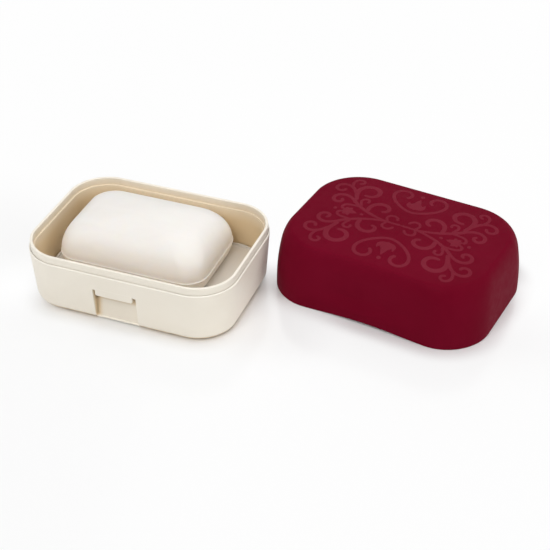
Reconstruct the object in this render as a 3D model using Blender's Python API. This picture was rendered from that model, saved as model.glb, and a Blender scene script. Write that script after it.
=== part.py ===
"""Soap box: an ivory base with a press tab, a drain tray and a soap bar, and its burgundy cover.

Metres, +Z up. The origin is the middle of the base's underside. +X runs along the base, and its
front, with the press tab, faces -Y. The cover stands beside the base, on the same surface.
"""

import math

import bmesh
import bpy
from mathutils import Vector

MM = 0.001

# Base, outer form
BASE_LENGTH = 110.0 * MM
BASE_WIDTH = 79.6 * MM
BASE_CORNER_RADIUS = 21.0 * MM
SHOULDER_HEIGHT = 28.4 * MM
BASE_TAPER = 2.05 * MM
FOOT_RADIUS = 4.4 * MM
SHOULDER_ROUND = 0.2 * MM

# Base, wall and lip
BASE_WALL = 3.3 * MM
BASE_FLOOR = 2.2 * MM
INNER_FOOT_RADIUS = 3.0 * MM
LEDGE_ROUND = 0.3 * MM
LIP_HEIGHT = 4.0 * MM
LIP_STEP = 0.6 * MM
LIP_THICKNESS = 1.5 * MM
LIP_ROUND = 0.5 * MM

# Finger pocket in the front wall, and the press tab that hangs over it
LATCH_OFFSET = -1.8 * MM
POCKET_WIDTH = 22.9 * MM
POCKET_TOP = 18.9 * MM
POCKET_DEPTH = 5.4 * MM
POCKET_FOOT_DEPTH = 0.3 * MM
POCKET_WALL = 1.6 * MM
TAB_WIDTH = 19.0 * MM
TAB_DROP = 3.1 * MM
TAB_THICKNESS = 1.6 * MM
TAB_CORNER_RADIUS = 0.9 * MM
TAB_ROOT_GAP = 0.3 * MM

# Drain tray
TRAY_HEIGHT = 9.2 * MM
TRAY_PANEL = 1.6 * MM
TRAY_CLEARANCE = 0.4 * MM
TRAY_RIM_RISE = 0.6 * MM
TRAY_RIM_WIDTH = 1.1 * MM
TRAY_RIM_ROUND = 0.3 * MM
TRAY_CHANNEL_WIDTH = 1.8 * MM
TRAY_CHANNEL_DEPTH = 0.35 * MM
TRAY_FOOT_RADIUS = 2.4 * MM
TRAY_FOOT_GAP = 0.3 * MM
TRAY_NOTCH_CLEARANCE = 0.5 * MM
TRAY_FOOT_SHARES = ((-0.66, -0.58), (0.0, -0.62), (0.66, -0.58), (-0.66, 0.58), (0.0, 0.62), (0.66, 0.58))
SLOT_COUNT = 7
SLOT_PITCH = 9.0 * MM
SLOT_WIDTH = 3.0 * MM
SLOT_LENGTH = 34.0 * MM
RIB_WIDTH = 1.6 * MM
RIB_LENGTH = 37.0 * MM
RIB_RISE = 1.0 * MM

# Soap bar
SOAP_LENGTH = 80.2 * MM
SOAP_WIDTH = 53.0 * MM
SOAP_HEIGHT = 26.6 * MM
SOAP_CORNER_RADIUS = 11.5 * MM
SOAP_PARTING = 6.9 * MM
SOAP_RIDGE = 0.4 * MM
SOAP_RIDGE_RISE = 0.5 * MM
SOAP_UNDERCUT = 1.7 * MM
SOAP_UNDERCUT_POWER = 1.6
SOAP_EDGE_RUN = 10.8 * MM
SOAP_CROWN = 2.9 * MM
SOAP_SIDE_GAP = 4.8 * MM
SOAP_BACK_GAP = 1.0 * MM
SOAP_SEAT_GAP = 0.3 * MM

# Cover
LID_CLEARANCE = 0.3 * MM
LID_SEAT_CLEARANCE = 0.3 * MM
COVER_RIM_WALL = 2.0 * MM
COVER_WALL = 2.4 * MM
COVER_CORNER_EXTRA = 1.3 * MM
COVER_HEIGHT = 34.9 * MM
COVER_TAPER = 1.3 * MM
COVER_TAPER_POWER = 2.5
COVER_EDGE_RUN = 4.5 * MM
COVER_EDGE_RISE = 10.6 * MM
COVER_CROWN = 1.7 * MM
COVER_RIM_ROUND = 0.3 * MM
RIM_WAIST = 1.0 * MM
FRONT_WAIST = 2.5 * MM
FRONT_WAIST_HEIGHT = 14.0 * MM
TOP_WAIST_SHARE = 0.5
RIM_ARCH = 1.2 * MM
RIM_ARCH_HEIGHT = 12.0 * MM
WAIST_REACH = 41.0 * MM

# The cover's place beside the base
COVER_GAP = 4.3 * MM
COVER_SETBACK = 43.8 * MM
COVER_TURN = math.radians(-7.9)

# Fineness of the curves
CORNER_STEPS = 12
SOFT_CORNER_STEPS = 10
COVER_LONG_STEPS = 14
EDGE_STEPS = 6
CROWN_SHARES = (0.2, 0.45, 0.7, 0.9)
SOAP_FOOT_SHARES = (1.0, 0.75, 0.5, 0.25, 0.0)
SLOT_END_STEPS = 6
FOOT_POST_SIDES = 16
TAB_ARC_STEPS = 4
SMOOTH_ANGLE = math.radians(32.0)
CUT_OVERRUN = 2.0 * MM
MOST_RADIUS_SHARE = 0.97


def linear(*display):
    """A display colour, each part 0 to 1, as the linear colour that a shader takes."""
    return tuple(c / 12.92 if c <= 0.04045 else ((c + 0.055) / 1.055) ** 2.4 for c in display) + (1.0,)


def finish(name, colour, roughness, metallic=0.0):
    """A Principled material."""
    made = bpy.data.materials.new(name)
    made.use_nodes = True
    shader = made.node_tree.nodes["Principled BSDF"]
    shader.inputs["Base Color"].default_value = colour
    shader.inputs["Roughness"].default_value = roughness
    shader.inputs["Metallic"].default_value = metallic
    return made


def place(name, mesh, material=None, origin=Vector(), turn=0.0):
    """An object in the scene for a mesh that is written about its own origin."""
    made = bpy.data.objects.new(name, mesh)
    bpy.context.scene.collection.objects.link(made)
    made.location = origin
    made.rotation_euler = (0.0, 0.0, turn)
    if material:
        mesh.materials.append(material)
        mesh.shade_smooth()
        mesh.set_sharp_from_angle(angle=SMOOTH_ANGLE)
    return made


def helper(name, mesh):
    """A cutter or an added shape, which only a Boolean uses."""
    made = place(name, mesh)
    made.hide_render = True
    made.display_type = "WIRE"
    return made


def combine(target, other, operation):
    """A Boolean of a helper with the target."""
    step = target.modifiers.new(other.name, "BOOLEAN")
    step.object = other
    step.operation = operation
    step.solver = "EXACT"


def finished_mesh(name, bm):
    """The mesh of a bmesh, with its faces turned outwards."""
    bmesh.ops.recalc_face_normals(bm, faces=bm.faces)
    mesh = bpy.data.meshes.new(name)
    bm.to_mesh(mesh)
    bm.free()
    return mesh


def loft(name, rings):
    """A closed skin through rings of points, from the first to the last, with both ends filled."""
    bm = bmesh.new()
    loops = [[bm.verts.new(point) for point in ring] for ring in rings]
    for lower, upper in zip(loops, loops[1:]):
        for near in range(len(lower)):
            far = (near + 1) % len(lower)
            bm.faces.new((lower[near], lower[far], upper[far], upper[near]))
    bm.faces.new(loops[0])
    bm.faces.new(loops[-1])
    return finished_mesh(name, bm)


def prism(name, outlines, front, depth):
    """Flat outlines of Vectors, each pushed from its front along a depth vector into a closed solid."""
    bm = bmesh.new()
    for outline in outlines:
        face = bm.faces.new([bm.verts.new(point + front) for point in outline])
        pushed = bmesh.ops.extrude_face_region(bm, geom=[face])["geom"]
        moved = [item for item in pushed if isinstance(item, bmesh.types.BMVert)]
        bmesh.ops.translate(bm, verts=moved, vec=depth)
    return finished_mesh(name, bm)


def arc(centre_x, centre_y, radius, start, end, steps):
    """Points (x, y) along an arc, both ends included."""
    angles = [start + (end - start) * step / steps for step in range(steps + 1)]
    return [(centre_x + radius * math.cos(a), centre_y + radius * math.sin(a)) for a in angles]


def rounded_ring(half_x, half_y, radius, height, corner_steps=CORNER_STEPS, long_steps=1):
    """A rounded rectangle about the Z axis, with its long sides cut into long_steps."""
    radius = min(radius, half_x * MOST_RADIUS_SHARE, half_y * MOST_RADIUS_SHARE)
    flat_x = half_x - radius
    flat_y = half_y - radius
    corners = (
        (flat_x, -flat_y, -0.5),
        (flat_x, flat_y, 0.0),
        (-flat_x, flat_y, 0.5),
        (-flat_x, -flat_y, 1.0),
    )
    points = []
    for x, y, quarter in corners:
        start = quarter * math.pi
        points += arc(x, y, radius, start, start + math.pi / 2, corner_steps)
        along_x = quarter in (0.0, 1.0)
        side = long_steps if along_x else 1
        end_x = math.copysign(flat_x, -x)
        last_y = points[-1][1]
        points += [(x + (end_x - x) * step / side, last_y) for step in range(1, side)]
    return [Vector((x, y, height)) for x, y in points]


def base_inset(height):
    """How far the base's drafted outer wall stands in from the shoulder at a height."""
    return BASE_TAPER * (1.0 - height / SHOULDER_HEIGHT)


def base_ring(inset, height):
    """A ring of the base, parallel to its shoulder outline."""
    return rounded_ring(BASE_LENGTH / 2 - inset, BASE_WIDTH / 2 - inset, BASE_CORNER_RADIUS - inset, height)


def quarter_turn(steps):
    """Pairs (sine, 1 - cosine) over a quarter of a circle, both ends included."""
    angles = [math.pi / 2 * step / steps for step in range(steps + 1)]
    return [(math.sin(a), 1.0 - math.cos(a)) for a in angles]


def base_profile():
    """Pairs (inset, height) from the underside, up the outside, over the lip and down the inside."""
    lip_top = SHOULDER_HEIGHT + LIP_HEIGHT
    lip_inner = LIP_STEP + LIP_THICKNESS
    foot = base_inset(FOOT_RADIUS)
    points = []
    for sine, rest in quarter_turn(EDGE_STEPS):
        points.append((foot + FOOT_RADIUS * (1.0 - sine), FOOT_RADIUS * rest))
    points.append((0.0, SHOULDER_HEIGHT - SHOULDER_ROUND))
    points.append((SHOULDER_ROUND, SHOULDER_HEIGHT))
    points.append((LIP_STEP, SHOULDER_HEIGHT))
    for sine, rest in quarter_turn(EDGE_STEPS // 2):
        points.append((LIP_STEP + LIP_ROUND * rest, lip_top - LIP_ROUND * (1.0 - sine)))
    for sine, rest in reversed(quarter_turn(EDGE_STEPS // 2)):
        points.append((lip_inner - LIP_ROUND * rest, lip_top - LIP_ROUND * (1.0 - sine)))
    points.append((lip_inner, SHOULDER_HEIGHT))
    points.append((BASE_WALL - LEDGE_ROUND, SHOULDER_HEIGHT))
    points.append((BASE_WALL, SHOULDER_HEIGHT - LEDGE_ROUND))
    inner_foot = BASE_WALL + base_inset(BASE_FLOOR + INNER_FOOT_RADIUS)
    for sine, rest in reversed(quarter_turn(EDGE_STEPS)):
        points.append((inner_foot + INNER_FOOT_RADIUS * (1.0 - sine), BASE_FLOOR + INNER_FOOT_RADIUS * rest))
    return points


def pocket_inset(height):
    """How far the pocket's back stands in from the shoulder line at a height: it leans in as it rises."""
    lean = (POCKET_DEPTH - POCKET_FOOT_DEPTH) / POCKET_TOP
    return base_inset(height) + POCKET_FOOT_DEPTH + lean * height


def front_outline(pairs):
    """Points in the plane across the front wall, from pairs (inset, height)."""
    return [Vector((0.0, inset - BASE_WIDTH / 2, height)) for inset, height in pairs]


def across_front(name, pairs, width):
    """A bar of one section, centred on the latch."""
    side = Vector((LATCH_OFFSET - width / 2, 0.0, 0.0))
    return prism(name, [front_outline(pairs)], side, Vector((width, 0.0, 0.0)))


def pocket_housing():
    """The wall round the pocket on the inside of the base, from inside the floor to over the pocket."""
    low = BASE_FLOOR - POCKET_WALL / 2
    high = POCKET_TOP + POCKET_WALL
    pairs = (
        (base_inset(low) + BASE_WALL / 2, low),
        (pocket_inset(low) + POCKET_WALL, low),
        (pocket_inset(high) + POCKET_WALL, high),
        (base_inset(high) + BASE_WALL / 2, high),
    )
    return helper("pocket_housing", across_front("pocket_housing", pairs, POCKET_WIDTH + 2 * POCKET_WALL))


def pocket_cutter():
    """The wedge that a fingertip fills: deepest behind the tab, running out at the foot."""
    low = -CUT_OVERRUN
    pairs = (
        (-CUT_OVERRUN, low),
        (pocket_inset(low), low),
        (pocket_inset(POCKET_TOP), POCKET_TOP),
        (-CUT_OVERRUN, POCKET_TOP),
    )
    return helper("pocket_cutter", across_front("pocket_cutter", pairs, POCKET_WIDTH))


def build_base(material):
    """The lower box with its lip, ledge and finger pocket."""
    rings = [base_ring(inset, height) for inset, height in base_profile()]
    made = place("base_shell", loft("base_shell", rings), material)
    combine(made, pocket_housing(), "UNION")
    combine(made, pocket_cutter(), "DIFFERENCE")
    return made


def build_press_tab(material, parent):
    """The tongue over the pocket, its face in line with the wall and its origin on its bending line."""
    half = TAB_WIDTH / 2
    top = POCKET_TOP - TAB_ROOT_GAP
    low = POCKET_TOP - TAB_DROP
    radius = TAB_CORNER_RADIUS
    origin = Vector((LATCH_OFFSET, base_inset(top) + TAB_THICKNESS / 2 - BASE_WIDTH / 2, top))
    outline = [(half, top), (-half, top)]
    outline += arc(radius - half, low + radius, radius, math.pi, 1.5 * math.pi, TAB_ARC_STEPS)
    outline += arc(half - radius, low + radius, radius, 1.5 * math.pi, 2.0 * math.pi, TAB_ARC_STEPS)
    face = [Vector((LATCH_OFFSET + x, base_inset(z) - BASE_WIDTH / 2, z)) - origin for x, z in outline]
    mesh = prism("press_tab", [face], Vector(), Vector((0.0, TAB_THICKNESS, 0.0)))
    made = place("press_tab", mesh, material, origin)
    made.parent = parent
    return made


def tray_ring(inset, height):
    """A ring of the tray, parallel to the base's inner wall at that height, inset from its clearance."""
    wall = BASE_WALL + base_inset(height) + TRAY_CLEARANCE
    return base_ring(wall + inset, height)


def tray_profile():
    """Pairs (inset, height) from the underside of the panel, round its rim, to the panel's top."""
    rim_top = TRAY_HEIGHT + TRAY_RIM_RISE
    channel = TRAY_HEIGHT - TRAY_CHANNEL_DEPTH
    under = TRAY_HEIGHT - TRAY_PANEL
    channel_end = TRAY_RIM_WIDTH + TRAY_CHANNEL_WIDTH
    return (
        (TRAY_RIM_ROUND, under),
        (0.0, under + TRAY_RIM_ROUND),
        (0.0, rim_top - TRAY_RIM_ROUND),
        (TRAY_RIM_ROUND, rim_top),
        (TRAY_RIM_WIDTH - TRAY_RIM_ROUND, rim_top),
        (TRAY_RIM_WIDTH, rim_top - TRAY_RIM_ROUND),
        (TRAY_RIM_WIDTH, TRAY_HEIGHT),
        (TRAY_RIM_WIDTH + TRAY_CHANNEL_DEPTH, channel),
        (channel_end - TRAY_CHANNEL_DEPTH, channel),
        (channel_end, TRAY_HEIGHT),
    )


def stadium(x, length, width):
    """A slot's outline with round ends, along Y at a place in X."""
    radius = width / 2
    reach = length / 2 - radius
    points = arc(x, reach, radius, 0.0, math.pi, SLOT_END_STEPS)
    points += arc(x, -reach, radius, math.pi, 2.0 * math.pi, SLOT_END_STEPS)
    return [Vector((px, py, 0.0)) for px, py in points]


def slot_places(count):
    """Places in X of a centred row at the slots' pitch."""
    return [(place_number - (count - 1) / 2) * SLOT_PITCH for place_number in range(count)]


def tray_slots():
    """Drain slots through the panel."""
    outlines = [stadium(x, SLOT_LENGTH, SLOT_WIDTH) for x in slot_places(SLOT_COUNT)]
    low = Vector((0.0, 0.0, TRAY_HEIGHT - TRAY_PANEL - CUT_OVERRUN))
    depth = Vector((0.0, 0.0, TRAY_PANEL + 2 * CUT_OVERRUN))
    return helper("tray_slots", prism("tray_slots", outlines, low, depth))


def tray_ribs():
    """Ribs between the slots, which lift the soap off the panel."""
    outlines = [stadium(x, RIB_LENGTH, RIB_WIDTH) for x in slot_places(SLOT_COUNT - 1)]
    low = Vector((0.0, 0.0, TRAY_HEIGHT - TRAY_PANEL / 2))
    depth = Vector((0.0, 0.0, TRAY_PANEL / 2 + RIB_RISE))
    return helper("tray_ribs", prism("tray_ribs", outlines, low, depth))


def tray_feet():
    """Round posts from inside the panel down to just over the base's floor."""
    low = BASE_FLOOR + TRAY_FOOT_GAP
    rise = TRAY_HEIGHT - TRAY_PANEL / 2 - low
    outlines = []
    for share_x, share_y in TRAY_FOOT_SHARES:
        x = share_x * BASE_LENGTH / 2
        y = share_y * BASE_WIDTH / 2
        ring = arc(x, y, TRAY_FOOT_RADIUS, 0.0, 2.0 * math.pi, FOOT_POST_SIDES)[:-1]
        outlines.append([Vector((px, py, low)) for px, py in ring])
    return helper("tray_feet", prism("tray_feet", outlines, Vector(), Vector((0.0, 0.0, rise))))


def tray_notch():
    """The notch in the tray's front edge, which clears the pocket's housing as the tray lifts out."""
    back = pocket_inset(POCKET_TOP + POCKET_WALL) + POCKET_WALL + TRAY_NOTCH_CLEARANCE
    low = BASE_FLOOR
    high = TRAY_HEIGHT + TRAY_RIM_RISE + CUT_OVERRUN
    pairs = ((0.0, low), (back, low), (back, high), (0.0, high))
    width = POCKET_WIDTH + 2 * (POCKET_WALL + TRAY_NOTCH_CLEARANCE)
    return helper("tray_notch", across_front("tray_notch", pairs, width))


def build_tray(material, parent):
    """The loose panel that keeps the soap out of the water."""
    rings = [tray_ring(inset, height) for inset, height in tray_profile()]
    made = place("drain_tray", loft("drain_tray", rings), material)
    combine(made, tray_feet(), "UNION")
    combine(made, tray_ribs(), "UNION")
    combine(made, tray_slots(), "DIFFERENCE")
    combine(made, tray_notch(), "DIFFERENCE")
    made.parent = parent
    return made


def domed_rings(ring, half_width, top, run, rise, crown, lean=0.0):
    """Rings over a soft edge and on over a crown, from a function of inset, height and scale.

    The edge is a piece of an ellipse: it starts at the lean of the wall below, and stops at the slope
    where the crown takes over. The crown is a parabola over rings that shrink towards the middle.
    """
    slope = 2.0 * crown / (half_width - run)
    first = math.atan(lean * rise / run)
    last = math.pi / 2 - math.atan(slope * run / rise)
    across = math.cos(first) - math.cos(last)
    upward = math.sin(last) - math.sin(first)
    rings = []
    for step in range(EDGE_STEPS + 1):
        angle = first + (last - first) * step / EDGE_STEPS
        inset = run * (math.cos(first) - math.cos(angle)) / across
        rings.append(ring(inset, top - crown - rise * (math.sin(last) - math.sin(angle)) / upward, 1.0))
    for share in CROWN_SHARES:
        rings.append(ring(run, top - crown * (1.0 - share) ** 2, 1.0 - share))
    return rings


def soap_ring(inset, height, scale=1.0):
    """A ring of the soap at an inset from its body, scaled towards the middle over the crown."""
    half_x = (SOAP_LENGTH / 2 - SOAP_RIDGE - inset) * scale
    half_y = (SOAP_WIDTH / 2 - SOAP_RIDGE - inset) * scale
    return rounded_ring(half_x, half_y, SOAP_CORNER_RADIUS * scale, height, SOFT_CORNER_STEPS)


def build_soap(material, parent):
    """A pillow-shaped bar: a nearly upright foot, a ridge at its parting line, and a soft dome."""
    foot = SOAP_PARTING - SOAP_RIDGE_RISE
    body = SOAP_PARTING + SOAP_RIDGE_RISE
    rings = []
    for share in SOAP_FOOT_SHARES:
        rings.append(soap_ring(SOAP_UNDERCUT * share**SOAP_UNDERCUT_POWER, foot * (1.0 - share)))
    rings.append(soap_ring(-SOAP_RIDGE, SOAP_PARTING))
    rise = SOAP_HEIGHT - SOAP_CROWN - body
    rings += domed_rings(soap_ring, SOAP_WIDTH / 2, SOAP_HEIGHT, SOAP_EDGE_RUN, rise, SOAP_CROWN)
    seat = TRAY_HEIGHT + RIB_RISE + SOAP_SEAT_GAP
    wall = BASE_WALL + base_inset(seat + SOAP_PARTING)
    x = wall + SOAP_SIDE_GAP + SOAP_LENGTH / 2 - BASE_LENGTH / 2
    y = BASE_WIDTH / 2 - wall - SOAP_BACK_GAP - SOAP_WIDTH / 2
    made = place("soap_bar", loft("soap_bar", rings), material, Vector((x, y, seat)))
    made.parent = parent
    return made


def cover_half_sizes():
    """Half the cover's length and width, and its corner radius, from the lip that it closes over."""
    grown = LID_CLEARANCE + COVER_RIM_WALL - LIP_STEP
    corner = BASE_CORNER_RADIUS + grown + COVER_CORNER_EXTRA
    return BASE_LENGTH / 2 + grown, BASE_WIDTH / 2 + grown, corner


def waist(x, y, half_y):
    """1 at the middle of the front wall, falling to 0 along it and towards the back."""
    along = math.cos(math.pi / 2 * min(abs(x) / WAIST_REACH, 1.0)) ** 2
    across = max(-y / half_y, 0.0) ** 2
    return along * across


def seat_depth():
    """How far the lip reaches up into the cover."""
    return LIP_HEIGHT + LID_SEAT_CLEARANCE


def waist_depth(height):
    """How deep the front wall is dished at a height: least over the seat, so that its wall stays whole."""
    if height < FRONT_WAIST_HEIGHT:
        rise = max(height - seat_depth(), 0.0) / (FRONT_WAIST_HEIGHT - seat_depth())
        return RIM_WAIST + (FRONT_WAIST - RIM_WAIST) * math.sin(math.pi / 2 * rise) ** 2
    rest = (height - FRONT_WAIST_HEIGHT) / (COVER_HEIGHT - FRONT_WAIST_HEIGHT)
    return FRONT_WAIST * (1.0 - rest * (1.0 - TOP_WAIST_SHARE))


def cover_ring(thickness, inset, height, scale=1.0):
    """A ring of the skin at a thickness under the cover's outside, inset, and scaled over the crown."""
    half_x, half_y, corner = cover_half_sizes()
    half_x = (half_x - thickness - inset) * scale
    half_y = (half_y - thickness - inset) * scale
    radius = (corner - thickness) * scale
    ring = rounded_ring(half_x, half_y, radius, height, SOFT_CORNER_STEPS, COVER_LONG_STEPS)
    for point in ring:
        share = waist(point.x, point.y, half_y)
        point.y += share * waist_depth(height) * scale
        point.z += share * RIM_ARCH * max(1.0 - height / RIM_ARCH_HEIGHT, 0.0)
    return ring


def cover_skin(thickness, low):
    """Rings of the cover's skin at a thickness under its outside, from a low height up to the crown."""
    top = COVER_HEIGHT - thickness
    run = COVER_EDGE_RUN - thickness / 2
    rise = COVER_EDGE_RISE - thickness / 2
    start = top - COVER_CROWN - rise
    wall = []
    for step in range(EDGE_STEPS):
        height = low + (start - low) * step / EDGE_STEPS
        wall.append(cover_ring(thickness, COVER_TAPER * (height / start) ** COVER_TAPER_POWER, height))

    def dome_ring(inset, height, scale):
        return cover_ring(thickness, COVER_TAPER + inset, height, scale)

    half_width = cover_half_sizes()[1] - thickness - COVER_TAPER
    lean = COVER_TAPER * COVER_TAPER_POWER / start
    return wall + domed_rings(dome_ring, half_width, top, run, rise, COVER_CROWN, lean)


def seat_ring(height):
    """A ring of the straight seat inside the rim, which slips over the base's lip."""
    grown = LID_CLEARANCE - LIP_STEP
    radius = BASE_CORNER_RADIUS + grown
    half_x = BASE_LENGTH / 2 + grown
    half_y = BASE_WIDTH / 2 + grown
    return rounded_ring(half_x, half_y, radius, height, SOFT_CORNER_STEPS, COVER_LONG_STEPS)


def arched(ring):
    """The ring with the front arch of the rim."""
    half_y = cover_half_sizes()[1]
    for point in ring:
        point.z += RIM_ARCH * waist(point.x, point.y, half_y)
    return ring


def build_cover(material):
    """The lid: a crowned shell, dished along its front, with a seat for the lip inside its rim."""
    outside = [cover_ring(0.0, COVER_RIM_ROUND, 0.0)] + cover_skin(0.0, COVER_RIM_ROUND)
    seat = [arched(seat_ring(0.0)), seat_ring(seat_depth())]
    rings = outside[::-1] + seat + cover_skin(COVER_WALL, seat_depth())
    half_x = cover_half_sizes()[0]
    origin = Vector((BASE_LENGTH / 2 + COVER_GAP + half_x, COVER_SETBACK, 0.0))
    return place("cover", loft("cover", rings), material, origin, COVER_TURN)


def build_soap_box():
    """Every piece of the soap box, on an empty at the middle of the base's underside."""
    for old in list(bpy.data.objects):
        bpy.data.objects.remove(old, do_unlink=True)
    ivory = finish("ivory_plastic", linear(0.89, 0.86, 0.81), 0.42)
    stone = finish("stone_plastic", linear(0.78, 0.73, 0.67), 0.45)
    milk = finish("milk_soap", linear(0.95, 0.93, 0.91), 0.5)
    burgundy = finish("burgundy_plastic", linear(0.45, 0.08, 0.15), 0.48)
    root = bpy.data.objects.new("soap_box", None)
    bpy.context.scene.collection.objects.link(root)
    base = build_base(ivory)
    base.parent = root
    build_press_tab(ivory, base)
    tray = build_tray(stone, base)
    build_soap(milk, tray)
    build_cover(burgundy).parent = root


build_soap_box()
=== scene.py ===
"""Soap box dressed for its photograph: ivory base, press tab, drain tray, soap bar and burgundy cover.

Every size is in metres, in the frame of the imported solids. A new skin is a surface worked out as whole
arrays: rings round a rounded rectangle, carried along a profile from one pole to the other. The tray is
its solid's own surface, welded, and the scrollwork is ribbons laid along strokes.
"""

import logging
import math
from dataclasses import dataclass
from enum import Enum

import bmesh
import bpy
import numpy as np
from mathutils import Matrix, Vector

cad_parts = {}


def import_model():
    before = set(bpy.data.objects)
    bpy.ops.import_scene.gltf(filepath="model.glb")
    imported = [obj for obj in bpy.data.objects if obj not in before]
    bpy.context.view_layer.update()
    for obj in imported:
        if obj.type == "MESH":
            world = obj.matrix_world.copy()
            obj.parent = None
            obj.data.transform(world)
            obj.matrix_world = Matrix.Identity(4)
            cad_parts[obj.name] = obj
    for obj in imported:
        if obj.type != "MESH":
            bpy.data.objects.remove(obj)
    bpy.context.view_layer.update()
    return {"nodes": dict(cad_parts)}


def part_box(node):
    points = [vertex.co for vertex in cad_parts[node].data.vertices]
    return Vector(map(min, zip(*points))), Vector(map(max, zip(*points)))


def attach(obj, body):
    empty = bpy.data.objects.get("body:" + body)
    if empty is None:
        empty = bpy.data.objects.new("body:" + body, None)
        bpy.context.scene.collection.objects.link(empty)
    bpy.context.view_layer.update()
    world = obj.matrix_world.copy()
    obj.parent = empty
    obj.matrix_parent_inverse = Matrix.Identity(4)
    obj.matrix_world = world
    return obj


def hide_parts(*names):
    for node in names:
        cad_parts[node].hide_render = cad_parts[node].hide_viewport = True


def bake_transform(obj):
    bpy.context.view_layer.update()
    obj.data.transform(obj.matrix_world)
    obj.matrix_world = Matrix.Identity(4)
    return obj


LOG = logging.getLogger("soap_box")
MM = 0.001
TINY = 1e-6
# The mesh values that the finishes read: the painted shade, the painted highlight along edges, and the
# floor's glow.
PAINTED_SHADE, PAINTED_HIGHLIGHT, LIFT = "inside", "highlight_tone", "lift"
NOISE_SPAN = (0.3, 0.7)
WHITE = (1.0, 1.0, 1.0, 1.0)

Array = np.ndarray
Colour = tuple[float, float, float, float]
Pair = tuple[float, float]
Triple = tuple[float, float, float]
Spot = tuple[float, float, float, float]
Floats = tuple[float, ...]
Table = tuple[Pair, ...]
Sockets = dict[str | int, object]
Material = bpy.types.Material
Mesh = bpy.types.Mesh
Piece = bpy.types.Object
Socket = bpy.types.NodeSocket


class Body(Enum):
    """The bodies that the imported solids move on."""

    BASE = "base"
    TAB = "tab"
    TRAY = "tray"
    SOAP = "soap"
    COVER = "cover"


class Slot(Enum):
    """The record's material slots."""

    IVORY = "ivory_plastic"
    STONE = "stone_plastic"
    SOAP = "milk_soap"
    BURGUNDY = "burgundy_plastic"


# ---------------------------------------------------------------------------------------- surfaces


def linear(*display: float) -> Colour:
    """A display colour, each part 0 to 255, as the linear colour that a shader takes.

    Formula: the screen standard's curve, a straight line near black and a power above it.

    Args:
        display: red, green and blue as they look on a screen.

    Returns:
        The linear colour with full opacity.
    """
    parts = np.array(display) / 255.0
    low = parts / 12.92
    high = ((parts + 0.055) / 1.055) ** 2.4
    red, green, blue = np.where(parts <= 0.04045, low, high)
    return float(red), float(green), float(blue), 1.0


def even_places(spans: int) -> Array:
    """Even places from -1 to 1, with both ends left out."""
    return np.linspace(-1.0, 1.0, spans + 1)[1:-1]


def read_off(table: Table, place: Array) -> Array:
    """The share at a place, from a table of (millimetres, share) with straight runs between."""
    places, shares = np.array(table).T
    return np.interp(place, places * MM, shares)


def soft_max(first: Array, second: Array, blend: float) -> Array:
    """The rounded larger of two: half of the sum plus the root of the squared difference and blend."""
    return 0.5 * (first + second + np.sqrt((first - second) ** 2 + blend**2))


def smooth_step(place: Array, low: float = 0.0, high: float = 1.0) -> Array:
    """A rise from 0 at low to 1 at high, with level ends: three squares less two cubes of the share."""
    share = np.clip((place - low) / (high - low), 0.0, 1.0)
    return share * share * (3.0 - 2.0 * share)


def filleted(corners: Array, radii: Array, steps: int, margin: float) -> Array:
    """A path through corners, each rounded by an arc with a support point just before and after it.

    Formula: an arc starts before its corner by its radius times the tangent of half the turn.

    Args:
        corners: the corners, (n, 2), between two plain ends.
        radii: a radius for each inner corner, (n - 2,).
        steps: the spans in each arc.
        margin: how far the support points stand off the arcs.

    Returns:
        The points of the path, (m, 2).
    """
    legs = np.diff(corners, axis=0)
    headings = legs / np.linalg.norm(legs, axis=1)[:, None]
    angle = np.arctan2(headings[:, 1], headings[:, 0])
    turn = (np.diff(angle) + np.pi) % (2.0 * np.pi) - np.pi
    reach = radii * np.tan(np.abs(turn) / 2.0)
    side = np.sign(turn)
    start = corners[1:-1] - headings[:-1] * reach[:, None]
    end = corners[1:-1] + headings[1:] * reach[:, None]
    centre = start + (side * radii)[:, None] * np.stack([-headings[:-1, 1], headings[:-1, 0]], 1)
    swept = angle[:-1, None] + turn[:, None] * np.linspace(0.0, 1.0, steps + 1)
    spoke = np.stack([np.sin(swept), -np.cos(swept)], 2)
    arcs = centre[:, None, :] + (side * radii)[:, None, None] * spoke
    before = (start - headings[:-1] * margin)[:, None, :]
    after = (end + headings[1:] * margin)[:, None, :]
    inner = np.concatenate([before, arcs, after], 1).reshape(-1, 2)
    return np.concatenate([corners[:1], inner, corners[-1:]])


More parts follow.
